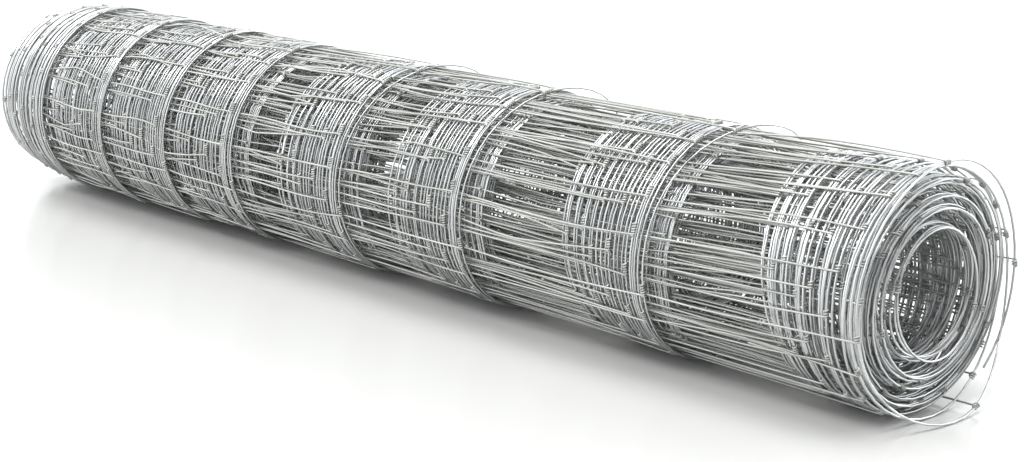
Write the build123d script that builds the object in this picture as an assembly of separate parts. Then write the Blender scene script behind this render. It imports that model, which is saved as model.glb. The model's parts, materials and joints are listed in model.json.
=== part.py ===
from build123d import *
import os

# Roll of knotted field fence, lying along X with its lowest turn on the ground.
# Line wires run round the roll, and stay wires run along it from line wire to line wire.
# It is turned about its open core, because every turn of the winding goes round that, and the outermost stays
# are set on it as free wires from band to band.

# Mesh: spaces between the line wires, from the close mesh at -X to the wide mesh at +X.
line_spaces = (100.0, 100.0, 100.0, 150.0, 150.0, 200.0, 200.0)

# Winding: outermost turn, open core, and how much of the closest space one line wire's turns fill.
outer_radius = 92.0
bore_radius = 45.0
spread_share = 0.92

# Outer layers: how much deeper a band's first turn lies, the same at the -X end, and the layers between bands.
band_fall = 5.0
far_end_fall = 10.0
neck_fall = 16.0

# Outermost turn of each line wire, a bead of doubled wire at the +X edge of its band.
bead_height = 2.0
bead_width = 4.0

# Outermost stays: few-sided wires, evenly spread round the roll and sunk a little into the bands they reach.
stay_thickness = 2.4
stay_sink = 0.4
stay_count = 10
stay_sides = 4

# Ends: how far the innermost turn stands off to +X, the turns that show, and how far each one bulges.
end_slant = 5.0
end_turns = 7
turn_bulge_share = 0.35

# Places of the outermost turns along X, with the middle of the roll at zero.
turn_spread = spread_share * min(line_spaces)
roll_length = turn_spread + sum(line_spaces)
line_places = [turn_spread - roll_length / 2]
for space in line_spaces:
    line_places.append(line_places[-1] + space)
band_starts = [place - turn_spread for place in line_places]

# Radii of the layers about the core.
bead_foot_radius = outer_radius - bead_height
band_start_radius = outer_radius - band_fall
far_end_radius = outer_radius - far_end_fall
neck_radius = outer_radius - neck_fall
stay_radius = band_start_radius - stay_sink + stay_thickness / 2


def at(place, radius):
    """Point of the turned profile: a place along X and a height, one radius above the core's axis."""
    return (place, outer_radius + radius)


def band_edges(start, start_radius, place):
    """One line wire's band: the slope of its spread turns, then the bead of the outermost turn."""
    return Polyline(
        at(start, start_radius),
        at(place - bead_width, bead_foot_radius),
        at(place - bead_width / 2, outer_radius),
        at(place, bead_foot_radius),
    ).edges()


def neck_edges(place, next_start):
    """Deeper layers between two bands: down beside the bead, then rising to the next band."""
    return Polyline(
        at(place, bead_foot_radius),
        at(place, neck_radius),
        at(next_start, band_start_radius),
    ).edges()


def end_edges(first_place, first_radius, last_place, last_radius, side):
    """Turns that show on one end, as ridges that bulge to the given side, -1 or +1 along X."""
    place_step = (last_place - first_place) / end_turns
    radius_step = (last_radius - first_radius) / end_turns
    bulge = side * turn_bulge_share * abs(radius_step)
    points = [at(first_place, first_radius)]
    for turn in range(end_turns):
        crest_turn = turn + 1 / 2
        crest_place = first_place + crest_turn * place_step + bulge
        points.append(at(crest_place, first_radius + crest_turn * radius_step))
        next_turn = turn + 1
        points.append(at(first_place + next_turn * place_step, first_radius + next_turn * radius_step))
    return Polyline(*points).edges()


def roll_profile():
    """Half section of the roll: -X end, bands and stays, +X end, and back along the core."""
    far_end = band_starts[0]
    near_end = line_places[-1]
    far_core = far_end + end_slant
    near_core = near_end + end_slant
    edges = end_edges(far_core, bore_radius, far_end, far_end_radius, -1)
    edges += band_edges(far_end, far_end_radius, line_places[0])
    for place, next_start, next_place in zip(line_places, band_starts[1:], line_places[1:]):
        edges += neck_edges(place, next_start)
        edges += band_edges(next_start, band_start_radius, next_place)
    edges += end_edges(near_end, bead_foot_radius, near_core, bore_radius, 1)
    edges.append(Line(at(near_core, bore_radius), at(far_core, bore_radius)))
    return Plane.XZ * make_face(edges)


def outer_stays(place, next_place):
    """Outermost stays of one space: straight wires from one bead, over the neck, into the next band."""
    section_plane = Plane.YZ.offset(place - bead_width) * Pos(0, outer_radius)
    section = RegularPolygon(stay_thickness / 2, stay_sides)
    stays = []
    for spot in PolarLocations(stay_radius, stay_count):
        stays.append(extrude(section_plane * spot * section, next_place - place))
    return stays


core_axis = Axis((0, 0, outer_radius), (1, 0, 0))
fence_roll = revolve(roll_profile(), core_axis)
for place, next_place in zip(line_places, line_places[1:]):
    fence_roll += outer_stays(place, next_place)
fence_roll = Pos(-fence_roll.bounding_box().center().X, 0, 0) * fence_roll

os.makedirs("parts", exist_ok=True)
export_step(fence_roll, "parts/fence_roll.step")
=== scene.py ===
import json
import math

import bmesh
import bpy
import numpy as np
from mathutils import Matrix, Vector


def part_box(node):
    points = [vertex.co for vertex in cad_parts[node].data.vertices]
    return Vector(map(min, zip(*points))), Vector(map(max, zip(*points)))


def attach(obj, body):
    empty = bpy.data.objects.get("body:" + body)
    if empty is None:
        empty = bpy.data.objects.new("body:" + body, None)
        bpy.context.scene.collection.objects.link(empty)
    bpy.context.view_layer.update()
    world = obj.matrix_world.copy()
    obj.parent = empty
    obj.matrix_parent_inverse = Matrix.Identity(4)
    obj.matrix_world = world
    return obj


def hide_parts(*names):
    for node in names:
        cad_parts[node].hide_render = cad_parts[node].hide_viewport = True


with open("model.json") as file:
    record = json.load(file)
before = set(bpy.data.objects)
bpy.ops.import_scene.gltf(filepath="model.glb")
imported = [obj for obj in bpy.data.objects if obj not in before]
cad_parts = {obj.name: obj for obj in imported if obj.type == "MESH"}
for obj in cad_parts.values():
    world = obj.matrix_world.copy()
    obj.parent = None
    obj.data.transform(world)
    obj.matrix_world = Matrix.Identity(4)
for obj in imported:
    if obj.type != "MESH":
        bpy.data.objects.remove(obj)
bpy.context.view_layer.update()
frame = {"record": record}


# Line wires: eight galvanised steel wires that run the whole length of the fence, the two edge ones thicker.
# Wound up, each turn lies beside and over the one before, so every line wire makes a band of turns
# round the roll, with its last turn at the band's +X edge.
mm_per_m = 1000
roll_low, roll_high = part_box("fence_roll")
core_height = (roll_low[2] + roll_high[2]) / 2
outer_radius = (roll_high[2] - roll_low[2]) / 2
core_radius = frame["record"]["mounts"][0]["dims"]["r_mm"] / mm_per_m
core_stand_off = 0.0069
line_spaces = (0.10, 0.10, 0.10, 0.15, 0.15, 0.20, 0.20)
line_places = roll_high[0] - core_stand_off - np.append(np.cumsum(line_spaces[::-1])[::-1], 0)
mesh_wire = 0.0016
edge_wire = 0.0020
last_line = len(line_spaces)
wire_sizes = [edge_wire] + [mesh_wire] * (last_line - 1) + [edge_wire]

# The winding is counted in turns from the loose end inwards, its depth. Its layers go to and fro across the
# bands, the outer and the innermost ones slowly. A share of 1 is a band's +X edge, and 0 is its -X edge.
# Each stop has its depth, the share of most line wires there, and that of the edge wire at +X. The edge wire
# at -X has its own first shares.
end_angle = math.radians(-48)
close_turns = 22
all_turns = 112
band_spread = 0.092
winding_stops = (
    (0, 1.0, 1.0),
    (5, 0.83, 0.72),
    (close_turns, 0.0, 0.0),
    (33, 1.10, 0.80),
    (38, 1.16, 0.92),
    (43, 0.10, 0.0),
    (47, 1.0, 0.80),
    (52, 1.06, 0.95),
    (58, 0.0, 0.0),
    (63, 1.02, 0.80),
    (68, 1.10, 0.97),
    (74, 0.05, 0.05),
    (78, 0.90, 0.80),
    (85, 1.02, 1.0),
    (90, 0.05, 0.10),
    (96, 0.62, 0.60),
    (all_turns, 1.05, 0.95),
)
stop_depths, mesh_shares, edge_shares = zip(*winding_stops)
far_first_shares = (1.0, 0.77)
far_shares = far_first_shares + mesh_shares[len(far_first_shares):]
line_shares = (far_shares,) + (mesh_shares,) * (last_line - 1) + (edge_shares,)

# How far below the outermost turn the layers lie, at some depths from the loose end to the core.
layer_turns = (0, 8, close_turns, 50, all_turns)
layer_falls = (0.0005, 0.0018, 0.0055, 0.0125, outer_radius - core_radius - mesh_wire)

# Turns lean from top to bottom, most of them alike, and the wide mesh's inner ones the other way. Round the
# upper side the wide mesh lags behind the close mesh, and its last turns have sprung up and out behind the
# top. The last turns of its edge wire have slipped out at the bottom too, and the close mesh's edge wire is
# wound a little smaller at the very end.
turn_lean = 0.06
inner_leans = (turn_lean,) * (last_line - 1) + (-0.065, -0.18)
line_lags = (0, 0, 0, 0, 0.004, 0.008, 0.008, 0.021)
lag_angle = math.radians(120)
spring_lifts = (0, 0, 0, 0, 0.004, 0.004, 0.004, 0.006)
spring_slips = (0, 0, 0, 0, 0.022, 0.020, 0.024, 0)
spring_depth = 0.336
edge_slips = (0.026, 0.010)
edge_slip_depth = 0.90
loose_turns = 0.14
far_fall = 0.006

# No turn lies quite true. Each kind of wander has a size, a step in turns from value to value, and a seed.
# They go along X for all line wires together, for each by itself and for the +X edge wire's inner turns, then
# out from the core, and along the wire.
mesh_stray = 0.0007
edge_stray = 0.0024
stray_growths = (1, 1, 2, 2, 3)
shared_step, shared_seed = 0.6, 7
stray_step, stray_seed = 0.35, 200
turn_strays = (0, 0, 0.002, 0.004, 0.006)
turn_step, turn_seed = 0.9, 500
dent_size, dent_step, dent_seed = 0.0004, 0.22, 100
line_slack, slack_step, slack_seed = 0.0025, 1.3, 400


def turn_radius(depth):
    """Radius of the winding at a depth in turns."""
    return outer_radius - np.interp(depth, layer_turns, layer_falls)


def drift(depth, step, size, seed):
    """Slow seeded wander along the winding, with a new value at every step of the given turns."""
    spare_values = 3
    values = np.random.default_rng(seed).normal(0, size, int(all_turns / step) + spare_values)
    return np.interp(depth, np.arange(len(values)) * step, values)


def swell(depth, middle):
    """Rise from 0 to 1 and back where a turn has come loose, about the given depth in turns."""
    return np.exp(-((depth - middle) / loose_turns) ** 2)


def line_point(number, depth):
    """Centre of one line wire at depths in turns, as an array of points."""
    depth = np.asarray(depth, float)
    share = np.interp(depth, stop_depths, line_shares[number])
    place = line_places[number] + band_spread * (share - 1)
    stray = mesh_stray * np.interp(depth, layer_turns, stray_growths)
    if number == last_line:
        stray = edge_stray
    own_drift = drift(depth, stray_step, 1, stray_seed + number) * stray
    place = place + drift(depth, shared_step, mesh_stray, shared_seed) + own_drift
    place = place + spring_slips[number] * swell(depth, spring_depth)
    radius = turn_radius(depth) + drift(depth, dent_step, dent_size, dent_seed + number)
    radius = radius + spring_lifts[number] * swell(depth, spring_depth)
    if number == 0:
        radius = np.maximum(radius - far_fall * np.clip(1 - share, 0, 1) ** 2, core_radius + mesh_wire)
    if number == last_line:
        place = place + drift(depth, turn_step, 1, turn_seed) * np.interp(depth, layer_turns, turn_strays)
        for turn, slip in enumerate(edge_slips):
            place = place + slip * swell(depth, turn + edge_slip_depth)
    angle = end_angle + 2 * np.pi * (depth + drift(depth, slack_step, line_slack, slack_seed + number))
    angle = angle - line_lags[number] / outer_radius * (1 + np.cos(angle - lag_angle)) / 2
    y = radius * np.cos(angle)
    z = np.maximum(core_height + radius * np.sin(angle), wire_sizes[number] / 2)
    lean = inner_leans[number] + (turn_lean - inner_leans[number]) * share
    return np.stack([place + lean * (z - core_height), y, z], -1)


def wire_mesh(paths, thickness, sides):
    """Round wire bent along each path, as one mesh. A curve's bevel has 4 sides, and 2 more a step."""
    curve = bpy.data.curves.new("bent_wire", "CURVE")
    curve.dimensions = "3D"
    curve.bevel_depth = thickness / 2
    curve.bevel_resolution = (sides - 4) // 2
    curve.use_fill_caps = True
    for path in paths:
        spline = curve.splines.new("POLY")
        spline.points.add(len(path) - 1)
        spline.points.foreach_set("co", np.column_stack([path, np.ones(len(path))]).ravel())
    holder = bpy.data.objects.new("bent_wire", curve)
    bpy.context.collection.objects.link(holder)
    mesh = bpy.data.meshes.new_from_object(holder.evaluated_get(bpy.context.evaluated_depsgraph_get()))
    bpy.data.objects.remove(holder)
    bpy.data.curves.remove(curve)
    return mesh


def wire_piece(name, meshes, material):
    """One piece of the roll, joined from wire meshes, that rides with it and stands for its solid."""
    joined = bmesh.new()
    for mesh in meshes:
        joined.from_mesh(mesh)
        bpy.data.meshes.remove(mesh)
    mesh = bpy.data.meshes.new(name)
    joined.to_mesh(mesh)
    joined.free()
    mesh.materials.append(material)
    piece = bpy.data.objects.new(name, mesh)
    bpy.context.collection.objects.link(piece)
    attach(piece, "root")
    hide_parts("fence_roll")


def zinc_coat_group():
    """Hot-dip zinc on drawn wire: bright and dull lengths, and a fine uneven skin."""
    group = bpy.data.node_groups.new("zinc_coat", "ShaderNodeTree")
    sockets = group.interface
    sockets.new_socket("Place", in_out="INPUT", socket_type="NodeSocketVector")
    for name in ("Bright zinc", "Dull zinc"):
        sockets.new_socket(name, in_out="INPUT", socket_type="NodeSocketColor")
    for name in ("Least rough", "Most rough"):
        sockets.new_socket(name, in_out="INPUT", socket_type="NodeSocketFloat")
    sockets.new_socket("Colour", in_out="OUTPUT", socket_type="NodeSocketColor")
    for name in ("Roughness", "Height"):
        sockets.new_socket(name, in_out="OUTPUT", socket_type="NodeSocketFloat")
    nodes, links = group.nodes, group.links
    given = nodes.new("NodeGroupInput")
    made = nodes.new("NodeGroupOutput")
    lengths = nodes.new("ShaderNodeTexNoise")
    lengths.inputs["Scale"].default_value = 1.0
    lengths.inputs["Detail"].default_value = 2.0
    tone = nodes.new("ShaderNodeMapRange")
    tone.inputs["From Min"].default_value = 0.32
    tone.inputs["From Max"].default_value = 0.68
    mix = nodes.new("ShaderNodeMix")
    mix.data_type = "RGBA"
    # The mix node's colour sockets share their names with its number ones, so they are taken by their order.
    first_colour, second_colour, mixed_colour = mix.inputs[6], mix.inputs[7], mix.outputs[2]
    skin = nodes.new("ShaderNodeTexNoise")
    skin.inputs["Scale"].default_value = 7.0
    skin.inputs["Detail"].default_value = 3.0
    rough = nodes.new("ShaderNodeMapRange")
    rough.inputs["From Min"].default_value = 0.3
    rough.inputs["From Max"].default_value = 0.7
    links.new(given.outputs["Place"], lengths.inputs["Vector"])
    links.new(given.outputs["Place"], skin.inputs["Vector"])
    links.new(lengths.outputs["Fac"], tone.inputs["Value"])
    links.new(tone.outputs["Result"], mix.inputs["Factor"])
    links.new(given.outputs["Dull zinc"], first_colour)
    links.new(given.outputs["Bright zinc"], second_colour)
    links.new(skin.outputs["Fac"], rough.inputs["Value"])
    links.new(given.outputs["Least rough"], rough.inputs["To Min"])
    links.new(given.outputs["Most rough"], rough.inputs["To Max"])
    links.new(mixed_colour, made.inputs["Colour"])
    links.new(rough.outputs["Result"], made.inputs["Roughness"])
    links.new(skin.outputs["Fac"], made.inputs["Height"])
    return group


zinc_coat = zinc_coat_group()


def zinc_material(name, pattern_scale, bright, dull, least_rough, most_rough):
    """Galvanised wire whose bright and dull lengths follow the wire, by a pattern scale along X, Y and Z."""
    material = bpy.data.materials.new(name)
    material.use_nodes = True
    nodes, links = material.node_tree.nodes, material.node_tree.links
    shader = nodes["Principled BSDF"]
    shader.inputs["Metallic"].default_value = 0.9
    place = nodes.new("ShaderNodeTexCoord")
    mapping = nodes.new("ShaderNodeMapping")
    mapping.inputs["Scale"].default_value = pattern_scale
    coat = nodes.new("ShaderNodeGroup")
    coat.node_tree = zinc_coat
    coat.inputs["Bright zinc"].default_value = bright
    coat.inputs["Dull zinc"].default_value = dull
    coat.inputs["Least rough"].default_value = least_rough
    coat.inputs["Most rough"].default_value = most_rough
    bump = nodes.new("ShaderNodeBump")
    bump.inputs["Strength"].default_value = 0.04
    bump.inputs["Distance"].default_value = 0.0002
    links.new(place.outputs["Object"], mapping.inputs["Vector"])
    links.new(mapping.outputs["Vector"], coat.inputs["Place"])
    links.new(coat.outputs["Colour"], shader.inputs["Base Color"])
    links.new(coat.outputs["Roughness"], shader.inputs["Roughness"])
    links.new(coat.outputs["Height"], bump.inputs["Height"])
    links.new(bump.outputs["Normal"], shader.inputs["Normal"])
    return material


line_pattern = (320, 9, 9)
line_bright = (0.65, 0.66, 0.66, 1)
line_dull = (0.38, 0.39, 0.395, 1)
line_roughs = (0.25, 0.38)
line_zinc = zinc_material("line_wire_zinc", line_pattern, line_bright, line_dull, *line_roughs)

# The outer turns are rounder and have more points a turn than the inner ones, which show less. The inner
# turns of the edge wires show at the ends of the roll, so their points come between.
fine_sides = 6
plain_sides = 4
close_points = 44
end_points = 36
inner_points = 24
close_depths = np.linspace(0, close_turns, close_turns * close_points + 1)
for number, size in enumerate(wire_sizes):
    turn_points = end_points if size == edge_wire else inner_points
    inner_depths = np.linspace(close_turns, all_turns, (all_turns - close_turns) * turn_points + 1)
    close_mesh = wire_mesh([line_point(number, close_depths)], size, fine_sides)
    inner_mesh = wire_mesh([line_point(number, inner_depths)], size, plain_sides)
    wire_piece("line_wire_%d" % (number + 1), [close_mesh, inner_mesh], line_zinc)


# Stay wires: short wires that hold two line wires apart, one row every 150 mm of fence. Each end is wrapped
# tightly round its line wire, so the mesh hinges there. In the roll the stays lie along X, the outer ones
# across the band of turns at their +X end, and handling has bowed and bent some of them.
stay_wire = 0.0016
stay_step = 0.150
first_stay = 0.091
stay_pattern = (7, 170, 170)
stay_bright = (0.50, 0.505, 0.485, 1)
stay_dull = (0.35, 0.355, 0.335, 1)
stay_roughs = (0.46, 0.58)
stay_zinc = zinc_material("stay_wire_zinc", stay_pattern, stay_bright, stay_dull, *stay_roughs)

# Depths of the rows of stays, from the wound length, with a stray in turns that grows inwards.
measure_points = 100
stay_strays = (0.002, 0.002, 0.008, 0.025, 0.045)
stay_seed = 11
fine_depths = np.linspace(0, all_turns, all_turns * measure_points + 1)
wound_steps = 2 * np.pi * turn_radius((fine_depths[1:] + fine_depths[:-1]) / 2) * np.diff(fine_depths)
wound_lengths = np.append(0, np.cumsum(wound_steps))
stay_lengths = np.arange(first_stay, wound_lengths[-1], stay_step)
stay_depths = np.interp(stay_lengths, wound_lengths, fine_depths)
stay_stray = np.interp(stay_depths, layer_turns, stay_strays)
stay_depths = stay_depths + np.random.default_rng(stay_seed).normal(0, 1, len(stay_depths)) * stay_stray

# Wraps at the ends: how many, how close and of how many points each, for the outer stays and the inner ones.
knot_wraps = 4.5
edge_wraps = 2.5
under_wraps = 1
wrap_pitch_share = 1.25
wrap_pitch = wrap_pitch_share * stay_wire
close_wrap_points = 6
inner_wrap_points = 4

# Bends between the wraps: bow round the roll, sag to the core from least to most, and a kink in some stays.
outer_turns = 1
close_bow = 0.0016
inner_bow = 0.0018
outer_sag = (-0.0040, 0.0010)
close_sag = (-0.0010, 0.0022)
inner_sag = (-0.002, 0.005)
kink_size = 0.007
kinked_shares = (0.22, 0.22, 0.22, 0.14, 0.08, 0.05, 0.05)
kink_place_shares = (0.3, 0.7)
bend_seed = 300
close_run_points = 11
inner_run_points = 7
along = np.array([1.0, 0.0, 0.0])


def outward_at(point):
    """Direction from the core's axis out to a point."""
    outward = np.array([0.0, point[1], point[2] - core_height])
    return outward / np.linalg.norm(outward)


def wrap(centre, radius, side, turns, turn_points):
    """Tight wraps of a stay's end round its line wire: from above it at side 1, +X, and from below at -1."""
    outward = outward_at(centre)
    round_roll = np.cross(along, outward)
    turn = np.linspace(0, 2 * np.pi * turns, int(turns * turn_points) + 1)[:, None]
    ring = radius * (np.sin(turn) * along + np.cos(turn) * outward)
    return centre + side * (ring - round_roll * wrap_pitch * turn / (2 * np.pi))


def stay_path(first_wraps, last_wraps, run_points, bow, sag, kink, chance):
    """One stay between its two wrapped ends, with a seeded bow round the roll, sag to the core and kink."""
    start, end = first_wraps[-1], last_wraps[0]
    outward = outward_at((start + end) / 2)
    u = np.linspace(0, 1, run_points)[1:-1, None]
    sway = chance.normal(0, bow) * np.sin(np.pi * u) + chance.normal(0, bow / 2) * np.sin(2 * np.pi * u)
    kink_place = chance.uniform(*kink_place_shares)
    sway = sway + kink * np.minimum(u / kink_place, (1 - u) / (1 - kink_place))
    run = start + (end - start) * u + np.cross(along, outward) * sway - outward * sag * np.sin(np.pi * u)
    path = np.concatenate([first_wraps, run, last_wraps])
    path[:, 2] = np.maximum(path[:, 2], stay_wire / 2)
    return path


for number in range(last_line):
    chance = np.random.default_rng(bend_seed + number)
    starts = line_point(number, stay_depths)
    ends = line_point(number + 1, stay_depths)
    start_radius = (wire_sizes[number] + stay_wire) / 2
    end_radius = (wire_sizes[number + 1] + stay_wire) / 2
    at_edge = number + 1 == last_line
    close_start_wraps = edge_wraps if number == 0 else under_wraps
    close_end_wraps = edge_wraps if at_edge else knot_wraps
    inner_end_wraps = edge_wraps if at_edge else under_wraps
    close_paths, inner_paths = [], []
    for start, end, depth in zip(starts, ends, stay_depths):
        kink = kink_size * chance.choice((-1, 1)) * (chance.random() < kinked_shares[number])
        if depth < close_turns:
            first_wraps = wrap(start, start_radius, -1, close_start_wraps, close_wrap_points)[::-1]
            last_wraps = wrap(end, end_radius, 1, close_end_wraps, close_wrap_points)
            sag = chance.uniform(*(outer_sag if depth < outer_turns else close_sag))
            path = stay_path(first_wraps, last_wraps, close_run_points, close_bow, sag, kink, chance)
            close_paths.append(path)
        else:
            first_wraps = wrap(start, start_radius, -1, under_wraps, inner_wrap_points)[::-1]
            last_wraps = wrap(end, end_radius, 1, inner_end_wraps, inner_wrap_points)
            sag = chance.uniform(*inner_sag)
            path = stay_path(first_wraps, last_wraps, inner_run_points, inner_bow, sag, kink, chance)
            inner_paths.append(path)
    close_mesh = wire_mesh(close_paths, stay_wire, fine_sides)
    inner_mesh = wire_mesh(inner_paths, stay_wire, plain_sides)
    wire_piece("stay_wires_%d" % (number + 1), [close_mesh, inner_mesh], stay_zinc)


# Floor: a plain white glossy sheet that the roll lies on, as in a studio. It takes the roll's soft shadow
# and a faint reflection, and it is no part of the roll.
floor_reach = 12.0
floor_mesh = bpy.data.meshes.new("floor")
floor_shape = bmesh.new()
bmesh.ops.create_grid(floor_shape, x_segments=1, y_segments=1, size=floor_reach)
floor_shape.to_mesh(floor_mesh)
floor_shape.free()
floor_material = bpy.data.materials.new("floor_white")
floor_material.use_nodes = True
floor_shader = floor_material.node_tree.nodes["Principled BSDF"]
floor_shader.inputs["Base Color"].default_value = (0.50, 0.50, 0.49, 1)
floor_shader.inputs["Roughness"].default_value = 0.19
floor_mesh.materials.append(floor_material)
floor = bpy.data.objects.new("floor", floor_mesh)
bpy.context.collection.objects.link(floor)


# Light: a pale room that glows from above, from behind, from the close mesh side, from the front and from
# behind on the wide mesh side, with lamps overhead and in front. Each glow has where it comes from, how near
# to that it starts and is full, and its strength. Each lamp has its strength, its width and its tilt.
side_light = 0.12
zenith_glow = ((0, 0, 1), (0.15, 0.90), 0.46)
backdrop_glow = ((-0.40, 0.92, 0.0), (0.2, 0.9), 2.0)
left_glow = ((-0.87, -0.38, 0.30), (0.76, 0.985), 3.0)
front_glow = ((0.0, -0.99, 0.12), (0.4, 0.98), 1.2)
right_glow = ((0.58, 0.81, 0.10), (0.72, 0.97), 2.4)
overhead_lamp = (2.6, math.radians(40), math.radians(0))
front_lamp = (1.8, math.radians(20), math.radians(36))
world = bpy.data.worlds.new("pale_room")
bpy.context.scene.world = world
world.use_nodes = True
room_nodes, room_links = world.node_tree.nodes, world.node_tree.links
background = room_nodes["Background"]
background.inputs["Color"].default_value = (0.97, 0.99, 1.0, 1)
direction = room_nodes.new("ShaderNodeTexCoord")


def room_glow(toward, nearness_range, strength, other_light):
    """Other light, and a glow that grows to its strength as a direction comes nearer to the given one."""
    nearness = room_nodes.new("ShaderNodeVectorMath")
    nearness.operation = "DOT_PRODUCT"
    nearness.inputs[1].default_value = toward
    glow = room_nodes.new("ShaderNodeMapRange")
    glow.interpolation_type = "SMOOTHSTEP"
    glow.inputs["From Min"].default_value, glow.inputs["From Max"].default_value = nearness_range
    glow.inputs["To Max"].default_value = strength
    both = room_nodes.new("ShaderNodeMath")
    both.operation = "ADD"
    room_links.new(direction.outputs["Generated"], nearness.inputs[0])
    room_links.new(nearness.outputs["Value"], glow.inputs["Value"])
    room_links.new(glow.outputs["Result"], both.inputs[0])
    room_links.new(other_light, both.inputs[1])
    return both.outputs["Value"]


dim_sides = room_nodes.new("ShaderNodeValue")
dim_sides.outputs["Value"].default_value = side_light
room_light = dim_sides.outputs["Value"]
for glow in (zenith_glow, backdrop_glow, left_glow, front_glow, right_glow):
    room_light = room_glow(*glow, room_light)
room_links.new(room_light, background.inputs["Strength"])
for name, (energy, width, tilt) in (("overhead_lamp", overhead_lamp), ("front_lamp", front_lamp)):
    lamp = bpy.data.lights.new(name, "SUN")
    lamp.energy = energy
    lamp.angle = width
    lamp_holder = bpy.data.objects.new(name, lamp)
    lamp_holder.rotation_euler = (tilt, 0, 0)
    bpy.context.collection.objects.link(lamp_holder)


# Camera: where the photograph was taken from, a little above the roll and off its wide mesh end. Its length
# of view is in pixels of the photograph, as found from the places of the line wires.
view_azimuth = math.radians(46.2)
view_elevation = math.radians(14.2)
view_distance = 1.966
view_aim = (0.108, 0.0, 0.0587)
view_length_pixels = 2350
photo_width_pixels = 1024
sensor_width = 36.0
camera_data = bpy.data.cameras.new("camera")
camera_data.sensor_width = sensor_width
camera_data.lens = sensor_width * view_length_pixels / photo_width_pixels
camera = bpy.data.objects.new("camera", camera_data)
bpy.context.collection.objects.link(camera)
view_back = (
    math.sin(view_azimuth) * math.cos(view_elevation),
    -math.cos(view_azimuth) * math.cos(view_elevation),
    math.sin(view_elevation),
)
camera.location = [aim + view_distance * back for aim, back in zip(view_aim, view_back)]
camera.rotation_euler = (math.pi / 2 - view_elevation, 0, view_azimuth)
bpy.context.scene.camera = camera
bpy.context.scene.view_settings.view_transform = "Standard"
